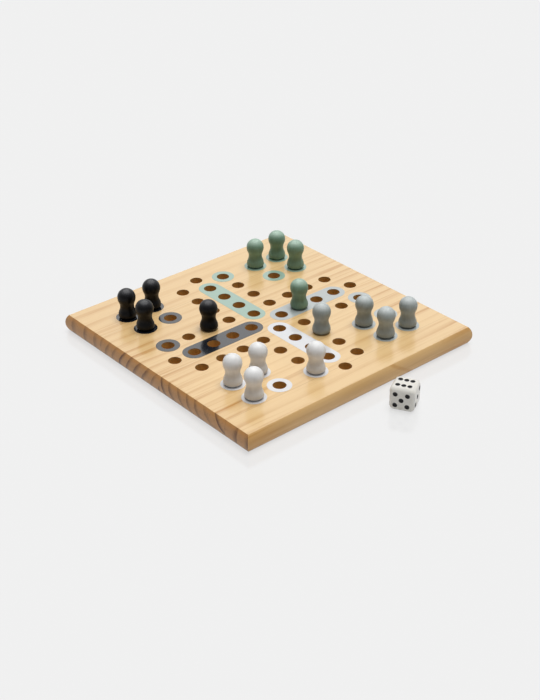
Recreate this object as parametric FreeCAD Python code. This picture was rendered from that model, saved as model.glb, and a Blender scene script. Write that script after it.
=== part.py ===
"""A wooden ludo set: a pegged board, its printed fields, sixteen turned pawns and one die.

The board is a square pine panel, glued edge to edge from four staves and drilled with blind
sockets. Four arms of sockets leave its centre, one for each colour, and each arm repeats the
one before it a quarter turn on. A pawn stands in a socket on the end of its peg.

Millimetres, +Z up. The origin is the centre of the board's underside and +X runs along the
grain. Every sub-part is written to parts/NAME.step.
"""
import math
import os

import FreeCAD
import Part

Vector = FreeCAD.Vector
UP = Vector(0, 0, 1)
ORIGIN = Vector(0, 0, 0)

# Board: flat faces, with sides that swell outwards at mid height and meet in mitred corners
board_side = 190.0
board_thickness = 12.0
side_bulge = 2.15
edge_rounding = 0.5
front_stave_width = 21.4
rear_stave_width = 41.0

# Sockets: blind holes with the drill's centre mark in their floor, along each arm and beside it
socket_diameter = 8.6
socket_floor = 5.0
centre_mark_diameter = 1.6
centre_mark_depth = 0.8
edge_margin = 19.8
lane_start = 13.0
track_offset = 17.5
track_setback = 7.75
home_margin = 40.0
home_pitch = 20.0
lane_sockets = 4
row_sockets = 3

# Print: an ink film round each start and home socket and along each lane
field_diameter = 15.5
ink_thickness = 0.08

# Pawn: a round head, a drawn-in waist, a flared base and a peg that holds the foot off the board
pawn_height = 20.0
head_diameter = 12.0
waist_depth = 1.4
base_overhang = 1.7
base_widest_height = 1.3
foot_overhang = 0.9
foot_gap = 0.8
peg_clearance = 0.35
peg_chamfer = 0.8

# Die: a rounded cube with painted hollow pips, lying in front of the board
die_size = 16.0
die_edge_radius = 3.0
pip_diameter = 3.1
pip_depth = 0.5
pip_paint_thickness = 0.12
pip_offset = 3.8
six_row_offset = 3.2
die_along = 9.3
die_distance = 22.7
die_turn_degrees = -61.7

# One overrun serves every cut
cut_overrun = 1.0

# Quarter turns from +X to each colour's arm
arm_turns = {"grey": 0, "green": 1, "black": 2, "white": 3}

# Places worked out from the sizes above
board_half = board_side / 2
socket_radius = socket_diameter / 2
field_radius = field_diameter / 2
socket_depth = board_thickness - socket_floor
arm_end = board_half - edge_margin
lane_pitch = (arm_end - lane_start) / lane_sockets
row_end = arm_end - track_setback
row_pitch = (row_end - track_offset) / row_sockets
home_centre = board_half - home_margin
home_near = home_centre - home_pitch / 2
home_far = home_centre + home_pitch / 2

# An arm's sockets as (distance along the arm, distance to its left)
lane_places = [(lane_start + step * lane_pitch, 0) for step in range(lane_sockets)]
row_steps = [track_offset + step * row_pitch for step in range(1, row_sockets + 1)]
left_row = [(along, track_offset) for along in row_steps]
right_row = [(along, -track_offset) for along in row_steps]
start_place = right_row[-1]
home_places = [(along, -side) for along in (home_near, home_far) for side in (home_near, home_far)]
bare_places = [(track_offset, track_offset), (arm_end, 0)] + left_row + right_row[:-1]
ringed_places = [start_place] + home_places

# Each colour's empty home place, and where its fourth pawn stands instead: arm and place
empty_home = {"black": home_places[0], "green": home_places[0],
              "grey": home_places[2], "white": home_places[2]}
pawn_in_play = {"black": ("black", right_row[0]), "green": ("grey", lane_places[1]),
                "grey": ("white", left_row[0]), "white": ("white", start_place)}


def on_board(arm, place):
    """A place on an arm, turned to where that arm lies on the board."""
    x, y = place
    for _ in range(arm_turns[arm]):
        x, y = -y, x
    return x, y


def turned_to(arm, shape):
    """A shape built along +X, turned to where an arm lies on the board."""
    return shape.rotated(ORIGIN, UP, 90 * arm_turns[arm])


def line(start, end):
    """A straight edge in the XZ plane between two (x, z) points."""
    return Part.LineSegment(Vector(start[0], 0, start[1]), Vector(end[0], 0, end[1])).toShape()


def arc(centre, radius, first, last):
    """An arc in the XZ plane about an (x, z) centre, between two angles from +X."""
    points = []
    for angle in (first, (first + last) / 2, last):
        x = centre[0] + radius * math.cos(angle)
        z = centre[1] + radius * math.sin(angle)
        points.append(Vector(x, 0, z))
    return Part.Arc(*points).toShape()


def only_solid(shape):
    """The one solid that a cut leaves."""
    if len(shape.Solids) != 1:
        raise ValueError("a cut left %d solids" % len(shape.Solids))
    return shape.Solids[0]


def board_section():
    """The board's section: flat top and bottom, an arc for each side, softened edges."""
    rise = board_thickness / 2
    bulge_radius = (rise ** 2 + side_bulge ** 2) / (2 * side_bulge)
    bulge_x = board_half - bulge_radius
    corner_rise = rise - edge_rounding
    corner_x = bulge_x + math.sqrt((bulge_radius - edge_rounding) ** 2 - corner_rise ** 2)
    lean = math.atan2(corner_rise, corner_x - bulge_x)
    low, high = edge_rounding, board_thickness - edge_rounding
    edges = [
        line((-corner_x, 0), (corner_x, 0)),
        arc((corner_x, low), edge_rounding, -math.pi / 2, -lean),
        arc((bulge_x, rise), bulge_radius, -lean, lean),
        arc((corner_x, high), edge_rounding, lean, math.pi / 2),
        line((corner_x, board_thickness), (-corner_x, board_thickness)),
        arc((-corner_x, high), edge_rounding, math.pi / 2, math.pi - lean),
        arc((-bulge_x, rise), bulge_radius, math.pi - lean, math.pi + lean),
        arc((-corner_x, low), edge_rounding, math.pi + lean, 3 * math.pi / 2),
    ]
    return Part.Face(Part.Wire(edges))


def board_blank():
    """The undrilled board: the section run both ways, so that its sides meet in mitres."""
    run = board_section().extrude(Vector(0, board_side, 0))
    run.translate(Vector(0, -board_half, 0))
    return only_solid(run.common(run.rotated(ORIGIN, UP, 90)))


def socket_drills():
    """A drill and its centre point for every socket on the board."""
    mouth = socket_depth + cut_overrun
    mark_radius = centre_mark_diameter / 2
    drills = []
    for arm in arm_turns:
        for place in lane_places + bare_places + ringed_places:
            x, y = on_board(arm, place)
            tip = Vector(x, y, socket_floor - centre_mark_depth)
            drills.append(Part.makeCylinder(socket_radius, mouth, Vector(x, y, socket_floor)))
            drills.append(Part.makeCone(0, mark_radius, centre_mark_depth, tip))
    return drills


def staves():
    """The four staves, from front to rear, parted at the glue lines and drilled."""
    middle_width = (board_side - front_stave_width - rear_stave_width) / 2
    widths = {"front_stave": front_stave_width, "front_middle_stave": middle_width,
              "rear_middle_stave": middle_width, "rear_stave": rear_stave_width}
    blank = board_blank()
    drills = socket_drills()
    clear_half = board_half + cut_overrun
    clear_height = board_thickness + 2 * cut_overrun
    low = -board_half
    made = {}
    for name, width in widths.items():
        high = low + width
        front = -clear_half if low == -board_half else low
        rear = clear_half if name == "rear_stave" else high
        corner = Vector(-clear_half, front, -cut_overrun)
        slab = Part.makeBox(2 * clear_half, rear - front, clear_height, corner)
        made[name] = only_solid(blank.common(slab).cut(drills))
        low = high
    return made


def ink_disc(radius, place):
    """A disc as thick as the ink, on the board's top at a place on the +X arm."""
    return Part.makeCylinder(radius, ink_thickness, Vector(place[0], place[1], board_thickness))


def lane_print(arm):
    """An arm's lane: one printed stadium, open over its sockets."""
    first, last = lane_places[0], lane_places[-1]
    corner = Vector(first[0], -field_radius, board_thickness)
    strip = Part.makeBox(last[0] - first[0], field_diameter, ink_thickness, corner)
    field = strip.fuse([ink_disc(field_radius, first), ink_disc(field_radius, last)]).removeSplitter()
    open_field = field.cut([ink_disc(socket_radius, place) for place in lane_places])
    return turned_to(arm, only_solid(open_field))


def ring_print(arm):
    """A colour's printed rings: one round its start socket and one round each home socket."""
    rings = []
    for place in ringed_places:
        rings.append(ink_disc(field_radius, place).cut(ink_disc(socket_radius, place)))
    return turned_to(arm, Part.makeCompound(rings))


def ogee(low, high):
    """Two equal arcs that join two upright points of a profile, bending one way, then the other."""
    out, up = high[0] - low[0], high[1] - low[1]
    radius = (out ** 2 + up ** 2) / (4 * abs(out))
    turn = math.asin(up / (2 * radius))
    if out > 0:
        return [arc((low[0] + radius, low[1]), radius, math.pi, math.pi - turn),
                arc((high[0] - radius, high[1]), radius, -turn, 0)]
    return [arc((low[0] - radius, low[1]), radius, 0, turn),
            arc((high[0] + radius, high[1]), radius, math.pi + turn, math.pi)]


def pawn():
    """A pawn turned about Z, its foot at z = 0 and its peg below."""
    peg_radius = socket_radius - peg_clearance
    peg_length = socket_depth + foot_gap
    foot_radius = socket_radius + foot_overhang
    base_radius = socket_radius + base_overhang
    head_radius = head_diameter / 2
    waist_radius = min(head_radius, base_radius) - waist_depth
    head_height = pawn_height - head_radius
    waist_height = (base_widest_height + head_height) / 2
    undercut = base_radius - foot_radius
    base_arc_radius = (undercut ** 2 + base_widest_height ** 2) / (2 * undercut)
    base_arc_turn = math.asin(base_widest_height / base_arc_radius)
    base_centre = (base_radius - base_arc_radius, base_widest_height)
    waist = (waist_radius, waist_height)
    edges = [
        line((0, -peg_length), (peg_radius - peg_chamfer, -peg_length)),
        line((peg_radius - peg_chamfer, -peg_length), (peg_radius, peg_chamfer - peg_length)),
        line((peg_radius, peg_chamfer - peg_length), (peg_radius, 0)),
        line((peg_radius, 0), (foot_radius, 0)),
        arc(base_centre, base_arc_radius, -base_arc_turn, 0),
        *ogee((base_radius, base_widest_height), waist),
        *ogee(waist, (head_radius, head_height)),
        arc((0, head_height), head_radius, 0, math.pi / 2),
        line((0, pawn_height), (0, -peg_length)),
    ]
    return only_solid(Part.Face(Part.Wire(edges)).revolve(ORIGIN, UP, 360))


def pawn_places(colour):
    """Where a colour's pawns stand: three at home and one in play, as (arm, place) pairs."""
    at_home = [(colour, place) for place in home_places if place != empty_home[colour]]
    return at_home + [pawn_in_play[colour]]


def pawns():
    """All the pawns, each with its peg standing on the floor of its socket."""
    turned = pawn()
    foot = board_thickness + foot_gap
    made = {}
    for colour in arm_turns:
        for number, (arm, place) in enumerate(pawn_places(colour), start=1):
            x, y = on_board(arm, place)
            made["%s_pawn_%d" % (colour, number)] = turned.translated(Vector(x, y, foot))
    return made


def pip_places():
    """Every pip as its place on the die's surface and that face's outward direction."""
    corners = [(-1, -1), (1, 1), (-1, 1), (1, -1)]
    patterns = {1: [(0, 0)], 2: corners[2:], 3: corners[:2] + [(0, 0)], 4: corners,
                5: corners + [(0, 0)], 6: [(step, row) for step in (-1, 0, 1) for row in (-1, 1)]}
    across, deep = Vector(1, 0, 0), Vector(0, 1, 0)
    faces = {6: (UP, across, deep), 1: (-UP, across, deep), 5: (-deep, across, UP),
             2: (deep, across, UP), 3: (across, deep, UP), 4: (-across, deep, UP)}
    places = []
    for value, (outward, right, up) in faces.items():
        row_offset = six_row_offset if value == 6 else pip_offset
        for step, row in patterns[value]:
            spot = outward * (die_size / 2) + right * (step * pip_offset) + up * (row * row_offset)
            places.append((spot, outward))
    return places


def die():
    """The die's body with its hollow pips, and the paint that lines them."""
    half = die_size / 2
    cube = Part.makeBox(die_size, die_size, die_size, Vector(-half, -half, -half))
    blank = cube.makeFillet(die_edge_radius, cube.Edges)
    ball_radius = ((pip_diameter / 2) ** 2 + pip_depth ** 2) / (2 * pip_depth)
    balls, linings = [], []
    for spot, outward in pip_places():
        ball = Part.makeSphere(ball_radius, spot + outward * (ball_radius - pip_depth))
        hollow = ball.translated(outward * pip_paint_thickness)
        balls.append(ball)
        linings.append(only_solid(blank.common(ball).cut(hollow)))
    rest = Vector(die_along, -(board_half + die_distance), half)
    made = {"die_body": only_solid(blank.cut(balls)), "die_pips": Part.makeCompound(linings)}
    return {name: shape.rotated(ORIGIN, UP, die_turn_degrees).translated(rest)
            for name, shape in made.items()}


def main():
    """Build every sub-part and write each to its own file."""
    made = staves()
    for arm in arm_turns:
        made["%s_lane_print" % arm] = lane_print(arm)
        made["%s_ring_print" % arm] = ring_print(arm)
    made.update(pawns())
    made.update(die())
    os.makedirs("parts", exist_ok=True)
    for name, shape in made.items():
        shape.exportStep("parts/%s.step" % name)


main()
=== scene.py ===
"""Looks for a wooden ludo set: lacquered pine, printed fields, painted pawns and a polished die.

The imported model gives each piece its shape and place. This add-on gives each its finish, worked
out from where a point lies in the wood, paint or plastic, and sets the stage round them.
Metres, +Z up. +X runs along the board's grain and the die lies towards -Y.
"""
import math

import bpy
import numpy as np
from bpy.props import FloatProperty, FloatVectorProperty, PointerProperty
from bpy.types import Operator, Panel, PropertyGroup
from mathutils import Matrix, Vector


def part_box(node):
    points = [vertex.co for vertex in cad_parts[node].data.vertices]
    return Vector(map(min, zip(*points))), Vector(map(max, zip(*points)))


bl_info = {
    "name": "Wooden ludo set",
    "version": (1, 0, 0),
    "blender": (4, 5, 0),
    "location": "View3D > Sidebar > Ludo",
    "description": "Finishes the board, prints, pawns and die of a wooden ludo set",
    "category": "Object",
}

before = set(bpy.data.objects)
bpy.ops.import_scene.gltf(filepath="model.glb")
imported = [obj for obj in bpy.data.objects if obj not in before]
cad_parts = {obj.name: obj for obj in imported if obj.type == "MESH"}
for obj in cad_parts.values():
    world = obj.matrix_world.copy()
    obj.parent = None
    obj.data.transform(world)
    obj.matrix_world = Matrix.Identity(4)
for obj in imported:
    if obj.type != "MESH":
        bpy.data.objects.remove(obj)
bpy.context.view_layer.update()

STAVES = ("front_stave", "front_middle_stave", "rear_middle_stave", "rear_stave")
COLOURS = ("black", "green", "grey", "white")
MM = 0.001

board_low = np.min([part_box(stave)[0] for stave in STAVES], axis=0)
board_high = np.max([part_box(stave)[1] for stave in STAVES], axis=0)


class Shade:
    """A shader socket for Python expressions: each operator on it adds one Math node."""

    def __init__(self, tree, socket):
        self.tree = tree
        self.socket = socket

    def also(self, output):
        """Another output of the same node."""
        return Shade(self.tree, self.socket.node.outputs[output])

    def __add__(self, other):
        return self.tree.math("ADD", self, other)

    def __sub__(self, other):
        return self.tree.math("SUBTRACT", self, other)

    def __rsub__(self, other):
        return self.tree.math("SUBTRACT", other, self)

    def __mul__(self, other):
        return self.tree.math("MULTIPLY", self, other)

    def __truediv__(self, other):
        return self.tree.math("DIVIDE", self, other)

    def __pow__(self, other):
        return self.tree.math("POWER", self, other)

    def __abs__(self):
        return self.tree.math("ABSOLUTE", self)

    __radd__ = __add__
    __rmul__ = __mul__


class Tree:
    """A node tree that is written as expressions."""

    def __init__(self, owner):
        owner.use_nodes = True
        self.tree = owner.node_tree
        self.tree.nodes.clear()

    def node(self, kind, settings=None, inputs=None, output=0):
        """Add a node, set its settings and then its inputs by name or number, and give one output."""
        made = self.tree.nodes.new("ShaderNode" + kind)
        for name, value in (settings or {}).items():
            setattr(made, name, value)
        for key, value in (inputs or {}).items():
            if isinstance(value, Shade):
                self.tree.links.new(value.socket, made.inputs[key])
            else:
                made.inputs[key].default_value = value
        return Shade(self, made.outputs[output]) if made.outputs else None

    def math(self, operation, *values):
        """One Math node."""
        return self.node("Math", {"operation": operation}, dict(enumerate(values)))

    def smooth(self, value, low, high):
        """A soft step from 0 at low to 1 at high."""
        return self.node("MapRange", {"interpolation_type": "SMOOTHSTEP"},
                         {"Value": value, "From Min": low, "From Max": high})

    def mix(self, share, first, second):
        """A share of the second colour over the first."""
        inputs = {0: share, 6: opaque(first), 7: opaque(second)}
        return self.node("Mix", {"data_type": "RGBA"}, inputs, output=2)

    def split(self, vector):
        """A vector's X, Y and Z."""
        parts = self.node("SeparateXYZ", inputs={"Vector": vector})
        return [parts.also(axis) for axis in "XYZ"]

    def noise(self, place, lengths, detail=2.0, seed=0.0):
        """Noise from 0 to 1 whose patches are about as long as lengths along X, Y and Z."""
        scaled = self.node("VectorMath", {"operation": "DIVIDE"}, {0: place, 1: lengths})
        return self.node("TexNoise", {"noise_dimensions": "4D"},
                         {"Vector": scaled, "W": seed, "Scale": 1.0, "Detail": detail})


def opaque(colour):
    """A colour as a Mix node takes it: a link as it is, and numbers with a full alpha."""
    return colour if isinstance(colour, Shade) else (*colour[:3], 1.0)


def surface(name, shader_inputs):
    """A material with one Principled shader, whose inputs are given by a function of its tree."""
    material = bpy.data.materials.new(name)
    tree = Tree(material)
    shader = tree.node("BsdfPrincipled", inputs=shader_inputs(tree))
    tree.node("OutputMaterial", inputs={"Surface": shader})
    return material


def dress(node, material):
    """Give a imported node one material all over."""
    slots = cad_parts[node].data.materials
    slots.clear()
    slots.append(material)


# Pine staves

# Each stave's growth: its heart line as (y, z), how far that line leans over as x grows, the width
# of a ring, and where one dark ring meets the stave's middle height. Millimetres.
GROWTH = {
    "front_stave": {"heart": (20.0, 6.0), "lean": (0.010, 0.0), "ring": 11.2, "dark_at": -83.8},
    "front_middle_stave": {"heart": (-115.0, 54.0), "lean": (0.012, -0.03), "ring": 7.6, "dark_at": -36.0},
    "rear_middle_stave": {"heart": (-85.0, -45.0), "lean": (-0.02, 0.02), "ring": 7.2, "dark_at": 23.0},
    "rear_stave": {"heart": (-40.0, 5.0), "lean": (0.014, 0.0), "ring": 12.4, "dark_at": 75.5},
}

# Where in a ring's width its late wood starts, is darkest and ends, how suddenly it darkens, and how much
# of that the palest ring shows.
LATE_START = 0.3
LATE_DARKEST = 0.86
LATE_END = 0.97
LATE_POWER = 1.8
PALEST_RING = 0.4

# Where a slanting resin streak crosses a stave's outer face: x at its top and at its foot. Millimetres.
RESIN_STREAK = {"front_stave": (22.0, 41.0)}

# How long a patch of each part of the figure is along X, Y and Z. Metres.
FIGURE = {
    "bend": (0.15, 0.03, 0.03),
    "waver": (0.05, 0.007, 0.007),
    "fibre": (0.045, 0.0011, 0.0011),
    "hair": (0.02, 0.0004, 0.0004),
    "fleck": (0.006, 0.0005, 0.0005),
    "patch": (0.11, 0.03, 0.03),
    "pore": (0.01, 0.0005, 0.0005),
    "thread": (0.09, 0.0021, 0.0021),
}
RING_BEND = 7.0 * MM
RING_WAVER = 1.4 * MM
WOOD_RELIEF = 0.08 * MM

# Where the noise of flecks and threads starts to show and where it shows in full.
FLECK_SHOWS = (0.68, 0.80)
THREAD_SHOWS = (0.53, 0.72)

# Weights of the figure in the streaks along the grain, in what the board's ends add to them, in the
# streaks of the end grain and in the relief. The figure is fainter in the middle than at the ends: a
# painted sheen over the middle.
STREAK = {"late": 0.4, "thread": 0.23, "fibre": 0.4, "hair": 0.2, "patch": 0.55}
STREAK_AT_END = {"late": 0.4, "thread": 0.43}
END_STREAK = {"late": 1.1, "thread": 0.25, "pore": 0.5}
RELIEF = {"late": 0.5, "fibre": 0.6, "hair": 0.4}

# Shares of the colours that are laid over the grain; the side's and the foot's are painted shade. The
# rim's falls on a dark streak.
TINT = {"fleck": 0.35, "side": 0.2, "foot": 0.35, "socket": 0.8, "seam": 0.35, "resin": 0.5}
RIM_TINT = 0.75
RIM_TINT_FALL = 0.55

# How far a normal has to turn along an axis for its face to count as an end, a side or the top: where
# that starts and where it is complete.
END_FACING = (0.45, 0.8)
SIDE_FACING = (0.5, 0.8)
TOP_FACING = (0.75, 0.97)

# Where each change of colour starts and where it is complete. Metres.
STREAKS_FROM_MIDDLE = (55 * MM, 93 * MM)
RIM_BELOW_TOP = (3.2 * MM, 0.8 * MM)
FOOT_SHADE_ABOVE_TABLE = (0.3 * MM, 1.6 * MM)
SOCKETS_FROM_SIDES = (3 * MM, 5 * MM)
SOCKETS_ABOVE_TABLE = (3 * MM, 4 * MM)
SOCKETS_BELOW_TOP = (0.08 * MM, 0.02 * MM)
RESIN_FROM_LINE = (0.6 * MM, 3.2 * MM)

# How far the resin streak strays, how near two edges lie to count as one, and the share of a glue
# line's width that is darkest.
RESIN_WANDER = 3 * MM
SAME_EDGE = 1 * MM
SEAM_CORE_SHARE = 0.3

# Roughness of the smoothest wood and what fibres and sockets add to it, the share of lacquer left on
# upright faces, and how strongly the relief tilts the light.
WOOD_ROUGHNESS = 0.42
FIBRE_ROUGHNESS = 0.12
SOCKET_ROUGHNESS = 0.3
UPRIGHT_LACQUER = 0.08
WOOD_BUMP = 0.25


def growth_rings(tree, place, growth, seed):
    """Late wood from 0 to 1: the distance from the heart line, bent by slow noise, in ring widths."""
    x, y, z = tree.split(place)
    heart_y, heart_z = (value * MM for value in growth["heart"])
    ring = growth["ring"] * MM
    across = y - heart_y - x * growth["lean"][0]
    deep = z - heart_z - x * growth["lean"][1]
    bend = (tree.noise(place, FIGURE["bend"], seed=seed) - 0.5) * RING_BEND
    waver = (tree.noise(place, FIGURE["waver"], seed=seed + 1) - 0.5) * RING_WAVER
    radius = (across * across + deep * deep) ** 0.5 + bend + waver
    middle = (board_low[2] + board_high[2]) / 2
    dark_radius = math.hypot(growth["dark_at"] * MM - heart_y, middle - heart_z)
    rings = radius / ring + (LATE_DARKEST - dark_radius / ring) % 1.0
    share = tree.math("FRACT", rings)
    rise = tree.smooth(share, LATE_START, LATE_DARKEST) ** LATE_POWER
    late = rise * (1 - tree.smooth(share, LATE_DARKEST, LATE_END))
    count = tree.math("FLOOR", rings)
    strength = tree.node("TexWhiteNoise", {"noise_dimensions": "1D"}, {"W": count + seed})
    return late * (PALEST_RING + (1 - PALEST_RING) * strength)


def pine(stave, wood):
    """Lacquered pine: rings, long fibres and resin flecks, browner end grain and raw sockets, with painted
    shade on the upright sides and along the foot.
    """
    seed = 10.0 * STAVES.index(stave)
    low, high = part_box(stave)

    def inputs(tree):
        place = tree.node("TexCoord", output="Object")
        x, y, z = tree.split(place)
        facing = tree.split(tree.node("NewGeometry", output="Normal"))
        late = growth_rings(tree, place, GROWTH[stave], seed)
        fibre = tree.noise(place, FIGURE["fibre"], detail=3.0, seed=seed + 2)
        hair = tree.noise(place, FIGURE["hair"], seed=seed + 3)
        fleck = tree.smooth(tree.noise(place, FIGURE["fleck"], seed=seed + 4), *FLECK_SHOWS)
        patch = tree.noise(place, FIGURE["patch"], seed=seed + 5)
        end = tree.smooth(abs(facing[0]), *END_FACING)
        side = tree.smooth(abs(facing[1]), *SIDE_FACING)
        top = tree.smooth(abs(facing[2]), *TOP_FACING)

        # Painted sheen: the figure is faint in the board's middle and darkens towards the ends.
        near_end = tree.smooth(abs(x), *STREAKS_FROM_MIDDLE)
        thread = tree.noise(place, FIGURE["thread"], detail=3.0, seed=seed + 7)
        thread = tree.smooth(thread, *THREAD_SHOWS)
        streak = (late * (STREAK["late"] + STREAK_AT_END["late"] * near_end)
                  + thread * (STREAK["thread"] + STREAK_AT_END["thread"] * near_end)
                  + (fibre - 0.5) * STREAK["fibre"] + (hair - 0.5) * STREAK["hair"]
                  + (patch - 0.5) * STREAK["patch"])
        streak = tree.node("Clamp", inputs={"Value": streak})
        long_grain = tree.mix(streak, wood.early_colour, wood.late_colour)
        long_grain = tree.mix(fleck * TINT["fleck"], long_grain, wood.fleck_colour)
        # Painted shade: the upright side faces are darkened towards late wood.
        long_grain = tree.mix(side * TINT["side"], long_grain, wood.late_colour)

        pore = tree.noise(place, FIGURE["pore"], detail=3.0, seed=seed + 6)
        end_streak = (late * END_STREAK["late"] + thread * END_STREAK["thread"]
                      + (pore - 0.5) * END_STREAK["pore"])
        end_streak = tree.node("Clamp", inputs={"Value": end_streak})
        end_grain = tree.mix(end_streak, wood.end_early_colour, wood.end_late_colour)
        rim = tree.smooth(z, *(high[2] - depth for depth in RIM_BELOW_TOP))
        end_grain = tree.mix(rim * (RIM_TINT - RIM_TINT_FALL * end_streak), end_grain, wood.rim_colour)
        colour = tree.mix(end, long_grain, end_grain)
        # Painted shade along the foot of each face, where the board meets the table.
        foot = 1 - tree.smooth(z, *FOOT_SHADE_ABOVE_TABLE)
        colour = tree.mix(foot * TINT["foot"], colour, wood.fleck_colour)

        at_top = tree.smooth(z, *(high[2] - depth for depth in SOCKETS_BELOW_TOP))
        inside = (tree.smooth(board_high[0] - abs(x), *SOCKETS_FROM_SIDES)
                  * tree.smooth(board_high[1] - abs(y), *SOCKETS_FROM_SIDES)
                  * tree.smooth(z, *SOCKETS_ABOVE_TABLE) * (1 - at_top))
        colour = tree.mix(inside * TINT["socket"], colour, wood.socket_colour)

        seams = [edge for edge, outer in ((low[1], board_low[1]), (high[1], board_high[1]))
                 if abs(edge - outer) > SAME_EDGE]
        for edge in seams:
            seam = 1 - tree.smooth(abs(y - edge), SEAM_CORE_SHARE * wood.seam_width, wood.seam_width)
            colour = tree.mix(seam * TINT["seam"], colour, wood.fleck_colour)

        if stave in RESIN_STREAK:
            top_x, foot_x = (value * MM for value in RESIN_STREAK[stave])
            slope = (foot_x - top_x) / high[2]
            aside = abs(x - top_x - (high[2] - z) * slope + (fibre - 0.5) * RESIN_WANDER)
            resin = (1 - tree.smooth(aside, *RESIN_FROM_LINE)) * side
            colour = tree.mix(resin * TINT["resin"], colour, wood.late_colour)

        height = late * RELIEF["late"] + fibre * RELIEF["fibre"] + hair * RELIEF["hair"]
        bump = tree.node("Bump", inputs={"Strength": WOOD_BUMP, "Distance": WOOD_RELIEF, "Height": height})
        return {
            "Base Color": colour,
            "Roughness": WOOD_ROUGHNESS + FIBRE_ROUGHNESS * fibre + SOCKET_ROUGHNESS * inside,
            "Coat Weight": (UPRIGHT_LACQUER + (1 - UPRIGHT_LACQUER) * top) * (1 - inside),
            "Coat Roughness": wood.lacquer_roughness,
            "Coat IOR": wood.lacquer_index,
            "Normal": bump,
        }

    return surface("pine_" + stave, inputs)


class LudoWood(PropertyGroup):
    """Pine of the board."""

    early_colour: FloatVectorProperty(
        name="Early wood", description="Pale wood between the rings", subtype="COLOR",
        default=(0.80, 0.55, 0.26), min=0.0, max=1.0)
    late_colour: FloatVectorProperty(
        name="Late wood", description="Darker wood of a ring", subtype="COLOR",
        default=(0.53, 0.25, 0.05), min=0.0, max=1.0)
    fleck_colour: FloatVectorProperty(
        name="Flecks", description="Resin flecks and glue lines", subtype="COLOR",
        default=(0.27, 0.125, 0.035), min=0.0, max=1.0)
    end_early_colour: FloatVectorProperty(
        name="Early end grain", description="Pale end grain", subtype="COLOR",
        default=(0.505, 0.255, 0.09), min=0.0, max=1.0)
    end_late_colour: FloatVectorProperty(
        name="Late end grain", description="Ring lines on the end grain", subtype="COLOR",
        default=(0.135, 0.05, 0.012), min=0.0, max=1.0)
    rim_colour: FloatVectorProperty(
        name="Lacquered rim", description="Lacquer soaked into the end grain's upper edge", subtype="COLOR",
        default=(0.49, 0.22, 0.052), min=0.0, max=1.0)
    socket_colour: FloatVectorProperty(
        name="Sockets", description="Raw wood inside the sockets", subtype="COLOR",
        default=(0.555, 0.335, 0.105), min=0.0, max=1.0)
    seam_width: FloatProperty(
        name="Glue line", description="Half the width of a glue line", subtype="DISTANCE",
        unit="LENGTH", default=0.00022, min=0.0)
    lacquer_roughness: FloatProperty(
        name="Lacquer roughness", description="Blur of what the lacquer mirrors", subtype="FACTOR",
        default=0.19, min=0.0, max=1.0)
    lacquer_index: FloatProperty(
        name="Lacquer index", description="Refractive index of the lacquer", default=1.8, min=1.0, max=3.0)


class LUDO_OT_finish_board(Operator):
    """Give each stave its own cut of lacquered pine"""

    bl_idname = "ludo.finish_board"
    bl_label = "Finish the board"

    def execute(self, context):
        for stave in STAVES:
            dress(stave, pine(stave, context.scene.ludo_wood))
        return {"FINISHED"}


# Printed fields

# Sizes of the fibres and of the uneven lay, along X, Y and Z. Metres.
INK_FIBRE = (0.03, 0.0009, 0.0009)
INK_LAY = (0.0012, 0.0012, 0.0012)
INK_RELIEF = 0.06 * MM

# The darkest tone and what the fibres and the lay add to it, their weights in the relief, how strongly
# the relief tilts the light, and what the lay adds to the roughness.
INK_TONE = {"least": 0.94, "fibre": 0.07, "lay": 0.05}
INK_HEIGHT = {"fibre": 0.7, "lay": 0.5}
INK_BUMP = 0.12
LAY_ROUGHNESS = 0.08


def ink(colour_name, inks):
    """A gloss ink film: faint fibres from the wood below and a fine uneven lay."""
    base = getattr(inks, colour_name)

    def inputs(tree):
        place = tree.node("TexCoord", output="Object")
        fibre = tree.noise(place, INK_FIBRE, detail=3.0, seed=60.0)
        lay = tree.noise(place, INK_LAY, detail=3.0, seed=61.0)
        tone = INK_TONE["least"] + INK_TONE["fibre"] * fibre + INK_TONE["lay"] * lay
        height = fibre * INK_HEIGHT["fibre"] + lay * INK_HEIGHT["lay"]
        bump = tree.node("Bump", inputs={"Strength": INK_BUMP, "Distance": INK_RELIEF, "Height": height})
        return {
            "Base Color": tree.node("HueSaturation", inputs={"Color": opaque(base), "Value": tone}),
            "Roughness": inks.roughness + LAY_ROUGHNESS * lay,
            "Coat Weight": 1.0,
            "Coat Roughness": inks.roughness,
            "Coat IOR": inks.index,
            "Normal": bump,
        }

    return surface(colour_name + "_ink", inputs)


class LudoInks(PropertyGroup):
    """Inks of the printed fields."""

    black: FloatVectorProperty(
        name="Black ink", description="Black lane and rings", subtype="COLOR",
        default=(0.009, 0.011, 0.016), min=0.0, max=1.0)
    green: FloatVectorProperty(
        name="Green ink", description="Green lane and rings", subtype="COLOR",
        default=(0.31, 0.465, 0.38), min=0.0, max=1.0)
    grey: FloatVectorProperty(
        name="Grey ink", description="Grey lane and rings", subtype="COLOR",
        default=(0.44, 0.48, 0.475), min=0.0, max=1.0)
    white: FloatVectorProperty(
        name="White ink", description="White lane and rings", subtype="COLOR",
        default=(0.715, 0.72, 0.74), min=0.0, max=1.0)
    roughness: FloatProperty(
        name="Ink roughness", description="Blur of what the ink mirrors", subtype="FACTOR",
        default=0.13, min=0.0, max=1.0)
    index: FloatProperty(
        name="Ink index", description="Refractive index of the ink's gloss", default=1.65, min=1.0, max=3.0)


class LUDO_OT_finish_prints(Operator):
    """Ink the lanes and rings in their four colours"""

    bl_idname = "ludo.finish_prints"
    bl_label = "Ink the printed fields"

    def execute(self, context):
        for colour in COLOURS:
            film = ink(colour, context.scene.ludo_inks)
            dress(colour + "_lane_print", film)
            dress(colour + "_ring_print", film)
        return {"FINISHED"}


# Pawns

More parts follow.
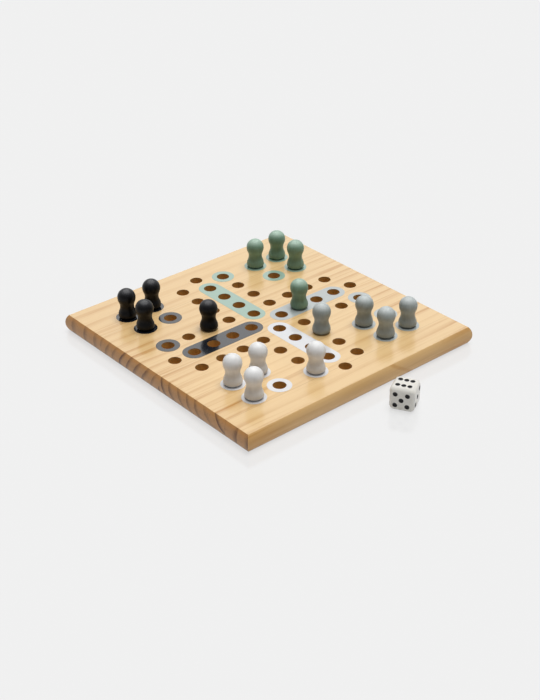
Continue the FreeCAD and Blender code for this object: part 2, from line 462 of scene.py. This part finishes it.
# How strongly the turned wood's grain shows through each paint, and how much painted crown highlight each
# gets.
GRAIN_AND_CROWN_HIGHLIGHT = {"black": 1.0, "green": 1.0, "grey": 1.0, "white": 0.4}

# Sizes of the upright fibres, the end grain's mottle and the paint's clouds, along X, Y and Z. Metres.
PAWN_FIBRE = (0.0008, 0.0008, 0.016)
PAWN_MOTTLE = (0.0009, 0.0009, 0.0009)
PAWN_CLOUD = (0.006, 0.006, 0.009)
PAINT_RELIEF = 0.1 * MM

# How far grain and clouds change the paint's tone, how strongly the grain tilts the light, and what the
# grain adds to the roughness.
PAINT_TONE = {"grain": 0.36, "cloud": 0.12}
PAINT_BUMP = 0.3
GRAIN_ROUGHNESS = 0.12

# How far a normal points up where a head's crown starts and where it is complete. The crown gets the end
# grain's mottle and a painted highlight.
CROWN_FACING = (0.35, 0.8)


def pawn_paint(colour_name, paints):
    """Satin paint on turned wood: upright fibres show through, and a head's crown is mottled and paler by a
    painted highlight.
    """
    base = getattr(paints, colour_name)
    shows = GRAIN_AND_CROWN_HIGHLIGHT[colour_name]

    def inputs(tree):
        place = tree.node("TexCoord", output="Object")
        facing = tree.split(tree.node("NewGeometry", output="Normal"))
        fibre = tree.noise(place, PAWN_FIBRE, detail=3.0, seed=80.0)
        mottle = tree.noise(place, PAWN_MOTTLE, seed=81.0)
        cloud = tree.noise(place, PAWN_CLOUD, seed=82.0)
        crown = tree.smooth(facing[2], *CROWN_FACING)
        grain = fibre * (1 - crown) + mottle * crown
        tone = 1.0 + PAINT_TONE["grain"] * shows * (grain - 0.5) + PAINT_TONE["cloud"] * (cloud - 0.5)
        # Painted highlight: the crown is paled by a gamma, as if lit from above.
        crown_highlight = tree.node("Gamma", inputs={"Color": opaque(base), "Gamma": paints.crown_highlight_gamma})
        colour = tree.mix(crown * shows, base, crown_highlight)
        strength = PAINT_BUMP * shows
        bump = tree.node("Bump", inputs={"Strength": strength, "Distance": PAINT_RELIEF, "Height": grain})
        return {
            "Base Color": tree.node("HueSaturation", inputs={"Color": colour, "Value": tone}),
            "Roughness": paints.roughness + GRAIN_ROUGHNESS * grain,
            "Specular IOR Level": paints.shine,
            "Normal": bump,
        }

    return surface(colour_name + "_paint", inputs)


class LudoPaints(PropertyGroup):
    """Paints of the pawns."""

    black: FloatVectorProperty(
        name="Black paint", description="Black pawns", subtype="COLOR",
        default=(0.0015, 0.0016, 0.002), min=0.0, max=1.0)
    green: FloatVectorProperty(
        name="Green paint", description="Green pawns", subtype="COLOR",
        default=(0.192, 0.318, 0.23), min=0.0, max=1.0)
    grey: FloatVectorProperty(
        name="Grey paint", description="Grey pawns", subtype="COLOR",
        default=(0.325, 0.366, 0.36), min=0.0, max=1.0)
    white: FloatVectorProperty(
        name="White paint", description="White pawns", subtype="COLOR",
        default=(0.74, 0.74, 0.735), min=0.0, max=1.0)
    roughness: FloatProperty(
        name="Paint roughness", description="Blur of what the paint mirrors", subtype="FACTOR",
        default=0.32, min=0.0, max=1.0)
    # Gamma of the painted highlight on a head's crown.
    crown_highlight_gamma: FloatProperty(
        name="Crown", description="Gamma of the paint on a head's crown, paler below 1",
        default=0.67, min=0.1)
    shine: FloatProperty(
        name="Paint shine", description="How strongly the paint mirrors", subtype="FACTOR",
        default=0.19, min=0.0, max=1.0)


class LUDO_OT_finish_pawns(Operator):
    """Paint every pawn in its colour"""

    bl_idname = "ludo.finish_pawns"
    bl_label = "Paint the pawns"

    def execute(self, context):
        for colour in COLOURS:
            paint = pawn_paint(colour, context.scene.ludo_paints)
            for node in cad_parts:
                if node.startswith(colour + "_pawn_"):
                    dress(node, paint)
        return {"FINISHED"}


# Die

# Sizes of the plastic's clouds, its rubbing marks and the pips' pooled paint, along X, Y and Z. Metres.
DIE_CLOUD = (0.006, 0.006, 0.006)
DIE_RUB = (0.0004, 0.0004, 0.0004)
PIP_POOL = (0.0011, 0.0011, 0.0011)

# How far red, green and blue light spread in the plastic as shares of the depth, that depth in metres, and
# the share of light that does so.
LIGHT_SPREAD = (1.0, 0.95, 0.85)
LIGHT_DEPTH = 2 * MM
LIGHT_SHARE = 0.2

# The plastic's darkest tone and what the clouds add to it, and what the rubbing marks add to its roughness.
DIE_TONE = {"least": 0.96, "cloud": 0.06}
RUB_ROUGHNESS = 0.12

# Roughness of the pips' paint, what a pool adds to it, and how strongly the paint mirrors.
PIP_ROUGHNESS = 0.38
POOL_ROUGHNESS = 0.2
PIP_SHINE = 0.25


def die_plastic(die):
    """Polished off-white plastic with faint clouds and fine rubbing marks."""
    def inputs(tree):
        place = tree.node("TexCoord", output="Object")
        cloud = tree.noise(place, DIE_CLOUD, seed=90.0)
        rub = tree.noise(place, DIE_RUB, detail=4.0, seed=91.0)
        tone = DIE_TONE["least"] + DIE_TONE["cloud"] * cloud
        body = opaque(die.body_colour)
        return {
            "Base Color": tree.node("HueSaturation", inputs={"Color": body, "Value": tone}),
            "Roughness": die.roughness + RUB_ROUGHNESS * rub,
            "Subsurface Weight": LIGHT_SHARE,
            "Subsurface Radius": LIGHT_SPREAD,
            "Subsurface Scale": LIGHT_DEPTH,
        }

    return surface("die_plastic", inputs)


def pip_paint(die):
    """Satin black paint that pooled in a pip."""
    def inputs(tree):
        place = tree.node("TexCoord", output="Object")
        pool = tree.noise(place, PIP_POOL, seed=92.0)
        return {
            "Base Color": tree.mix(pool, die.pip_colour, die.pool_colour),
            "Roughness": PIP_ROUGHNESS + POOL_ROUGHNESS * pool,
            "Specular IOR Level": PIP_SHINE,
        }

    return surface("pip_paint", inputs)


class LudoDie(PropertyGroup):
    """Plastic and paint of the die."""

    body_colour: FloatVectorProperty(
        name="Die", description="Plastic of the die", subtype="COLOR",
        default=(0.785, 0.765, 0.71), min=0.0, max=1.0)
    pip_colour: FloatVectorProperty(
        name="Pips", description="Paint in the pips", subtype="COLOR",
        default=(0.005, 0.005, 0.006), min=0.0, max=1.0)
    pool_colour: FloatVectorProperty(
        name="Pooled paint", description="Paint where it pooled in a pip", subtype="COLOR",
        default=(0.009, 0.009, 0.01), min=0.0, max=1.0)
    roughness: FloatProperty(
        name="Die roughness", description="Blur of what the die mirrors", subtype="FACTOR",
        default=0.16, min=0.0, max=1.0)


class LUDO_OT_finish_die(Operator):
    """Give the die its plastic and its pips their paint"""

    bl_idname = "ludo.finish_die"
    bl_label = "Finish the die"

    def execute(self, context):
        dress("die_body", die_plastic(context.scene.ludo_die))
        dress("die_pips", pip_paint(context.scene.ludo_die))
        return {"FINISHED"}


# Stage

WHITE = (1.0, 1.0, 1.0, 1.0)

# Where the bright far side of the sky starts and is complete, along the line of sight.
FAR_SIDE = (-0.35, 0.55)


class LudoStage(PropertyGroup):
    """Floor, light and camera."""

    floor_colour: FloatVectorProperty(
        name="Floor", description="Floor and background", subtype="COLOR",
        default=(0.85, 0.85, 0.85), min=0.0, max=1.0)
    floor_radius: FloatProperty(
        name="Floor radius", description="How far the floor reaches", subtype="DISTANCE",
        unit="LENGTH", default=6.0, min=0.5)
    floor_glow: FloatProperty(
        name="Floor glow", description="Share of the floor that is as even as the background",
        subtype="FACTOR", default=0.8, min=0.0, max=1.0)
    floor_mirror: FloatProperty(
        name="Floor mirror", description="Share of the floor that mirrors", subtype="FACTOR",
        default=0.07, min=0.0, max=1.0)
    floor_roughness: FloatProperty(
        name="Floor roughness", description="Blur of what the floor mirrors", subtype="FACTOR",
        default=0.12, min=0.0, max=1.0)
    sky_strength: FloatProperty(
        name="Sky", description="Share of the background's light that falls on things", subtype="FACTOR",
        default=0.36, min=0.0, max=1.0)
    dark_side: FloatProperty(
        name="Dark side", description="Share of that light left on the camera's side", subtype="FACTOR",
        default=0.36, min=0.0, max=1.0)
    lamp_strength: FloatProperty(
        name="Lamp", description="Light of the overhead softbox", default=2.7, min=0.0)
    sheen_strength: FloatProperty(
        name="Sheen", description="Light of the canopy that the pawns mirror", default=6.2, min=0.0)
    lamp_spread: FloatProperty(
        name="Lamp spread", description="How wide the softbox looks from the board", subtype="ANGLE",
        unit="ROTATION", default=math.radians(36.0))
    lamp_towards: FloatVectorProperty(
        name="Lamp direction", description="From the board towards the lamp", subtype="DIRECTION",
        default=(0.137, 0.016, 0.99))
    sheen_spread: FloatProperty(
        name="Sheen spread", description="How wide the canopy looks from the board", subtype="ANGLE",
        unit="ROTATION", default=math.radians(70.0))
    sheen_towards: FloatVectorProperty(
        name="Sheen direction", description="From the board towards the canopy", subtype="DIRECTION",
        default=(0.189, 0.223, 0.956))
    camera_place: FloatVectorProperty(
        name="Camera place", description="Where the camera stands", subtype="XYZ", unit="LENGTH",
        default=(-0.48806, -0.58110, 0.44521))
    camera_round: FloatProperty(
        name="Camera round", description="Turn about the upright axis", subtype="ANGLE",
        unit="ROTATION", default=math.radians(-40.181))
    camera_down: FloatProperty(
        name="Camera down", description="How far the camera looks down", subtype="ANGLE",
        unit="ROTATION", default=math.radians(30.974))
    camera_roll: FloatProperty(
        name="Camera roll", description="Roll about the line of sight", subtype="ANGLE",
        unit="ROTATION", default=math.radians(-0.650))
    lens: FloatProperty(
        name="Lens", description="Focal length in millimetres", subtype="DISTANCE_CAMERA",
        unit="CAMERA", default=68.51, min=1.0)


def camera_matrix(stage):
    """Place and turn of the camera: its back axis from two angles, rolled about that axis."""
    around, down, roll = stage.camera_round, stage.camera_down, stage.camera_roll
    back = Vector((math.sin(around) * math.cos(down), -math.cos(around) * math.cos(down), math.sin(down)))
    level = Vector((math.cos(around), math.sin(around), 0.0))
    upright = back.cross(level)
    right = level * math.cos(roll) + upright * math.sin(roll)
    up = upright * math.cos(roll) - level * math.sin(roll)
    turn = Matrix((right, up, back)).transposed().to_4x4()
    return Matrix.Translation(stage.camera_place) @ turn


def seen_directly(tree):
    """1 for rays from the camera, from mirrors and through glass, 0 for the light that falls on things."""
    path = tree.node("LightPath", output="Is Camera Ray")
    return tree.math("MINIMUM", path + path.also("Is Glossy Ray") + path.also("Is Transmission Ray"), 1.0)


def sky_light(tree, stage):
    """The background's strength: the floor's own colour to the camera, a bright far side for mirrors."""
    path = tree.node("LightPath", output="Is Camera Ray")
    x, y, _ = tree.split(tree.node("TexCoord", output="Generated"))
    away = (math.cos(stage.camera_round + math.pi / 2), math.sin(stage.camera_round + math.pi / 2))
    far = tree.smooth(x * away[0] + y * away[1], *FAR_SIDE)
    level = far + (1 - far) * stage.dark_side
    mirrored = tree.math("MAXIMUM", path.also("Is Glossy Ray"), path.also("Is Transmission Ray"))
    falling = level * (mirrored + (1 - mirrored) * stage.sky_strength)
    return path * stage.floor_colour[0] + (1 - path) * falling


def floor_material(stage):
    """A pale floor: matt, with a share as even as the background and a share of mirror."""
    material = bpy.data.materials.new("floor")
    tree = Tree(material)
    colour = opaque(stage.floor_colour)
    matt = tree.node("BsdfDiffuse", inputs={"Color": colour})
    even = tree.node("Emission", inputs={"Color": colour})
    mirror = tree.node("BsdfGlossy", inputs={"Color": WHITE, "Roughness": stage.floor_roughness})
    ground = tree.node("MixShader", inputs={0: seen_directly(tree) * stage.floor_glow, 1: matt, 2: even})
    polished = tree.node("MixShader", inputs={0: stage.floor_mirror, 1: ground, 2: mirror})
    tree.node("OutputMaterial", inputs={"Surface": polished})
    return material


def overhead_lamp(name, strength, spread, towards):
    """A wide lamp far above the board."""
    lamp = bpy.data.objects.new(name, bpy.data.lights.new(name, "SUN"))
    lamp.data.energy = strength
    lamp.data.angle = spread
    lamp.rotation_euler = Vector(towards).to_track_quat("Z", "Y").to_euler()
    return lamp


def floor_sheet(radius, rings=6, sides=64):
    """A round sheet under the board: rings of points whose radius grows as a square."""
    reach = radius * np.linspace(0.0, 1.0, rings + 1)[1:] ** 2
    turn = np.linspace(0.0, 2 * math.pi, sides, endpoint=False)
    points = np.stack([np.outer(reach, np.cos(turn)), np.outer(reach, np.sin(turn)),
                       np.zeros((rings, sides))], axis=-1).reshape(-1, 3)
    ring, side = np.meshgrid(np.arange(rings - 1), np.arange(sides), indexing="ij")
    after = (side + 1) % sides
    quads = np.stack([ring * sides + side, (ring + 1) * sides + side,
                      (ring + 1) * sides + after, ring * sides + after], axis=-1).reshape(-1, 4)
    mesh = bpy.data.meshes.new("floor")
    mesh.from_pydata(points.tolist(), [], [list(range(sides)), *quads.tolist()])
    return mesh


class LUDO_OT_set_stage(Operator):
    """Lay the floor, hang the light and stand the camera"""

    bl_idname = "ludo.set_stage"
    bl_label = "Set the stage"

    def execute(self, context):
        scene, stage = context.scene, context.scene.ludo_stage
        floor = bpy.data.objects.new("floor", floor_sheet(stage.floor_radius))
        floor.data.materials.append(floor_material(stage))
        scene.collection.objects.link(floor)

        softbox = overhead_lamp("softbox", stage.lamp_strength, stage.lamp_spread, stage.lamp_towards)
        softbox.visible_glossy = False
        sheen = overhead_lamp("sheen", stage.sheen_strength, stage.sheen_spread, stage.sheen_towards)
        sheen.visible_diffuse = False
        turned = bpy.data.collections.new("turned")
        for name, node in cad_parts.items():
            if "_pawn_" in name:
                turned.objects.link(node)
        sheen.light_linking.receiver_collection = turned
        for lamp in (softbox, sheen):
            scene.collection.objects.link(lamp)

        scene.world = bpy.data.worlds.new("studio")
        tree = Tree(scene.world)
        sky = tree.node("Background", inputs={"Color": WHITE, "Strength": sky_light(tree, stage)})
        tree.node("OutputWorld", inputs={"Surface": sky})

        camera = bpy.data.objects.new("camera", bpy.data.cameras.new("camera"))
        camera.data.lens = stage.lens
        camera.matrix_world = camera_matrix(stage)
        scene.collection.objects.link(camera)
        scene.camera = camera
        scene.view_settings.view_transform = "Standard"
        return {"FINISHED"}


class LUDO_PT_set(Panel):
    """Sidebar panel that lists the steps in order"""

    bl_label = "Ludo set"
    bl_space_type = "VIEW_3D"
    bl_region_type = "UI"
    bl_category = "Ludo"

    def draw(self, context):
        for operator in OPERATORS:
            self.layout.operator(operator.bl_idname)


GROUPS = {"ludo_wood": LudoWood, "ludo_inks": LudoInks, "ludo_paints": LudoPaints,
          "ludo_die": LudoDie, "ludo_stage": LudoStage}
OPERATORS = (LUDO_OT_finish_board, LUDO_OT_finish_prints, LUDO_OT_finish_pawns,
             LUDO_OT_finish_die, LUDO_OT_set_stage)


def register():
    """Register the settings, the operators and the panel."""
    for made in (*GROUPS.values(), *OPERATORS, LUDO_PT_set):
        bpy.utils.register_class(made)
    for name, group in GROUPS.items():
        setattr(bpy.types.Scene, name, PointerProperty(type=group))


def unregister():
    """Take the panel, the operators and the settings away again."""
    for name in GROUPS:
        delattr(bpy.types.Scene, name)
    for made in (LUDO_PT_set, *reversed(OPERATORS), *reversed(GROUPS.values())):
        bpy.utils.unregister_class(made)


def main():
    """Finish every piece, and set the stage."""
    register()
    bpy.ops.ludo.finish_board()
    bpy.ops.ludo.finish_prints()
    bpy.ops.ludo.finish_pawns()
    bpy.ops.ludo.finish_die()
    bpy.ops.ludo.set_stage()


if __name__ == "__main__":
    main()
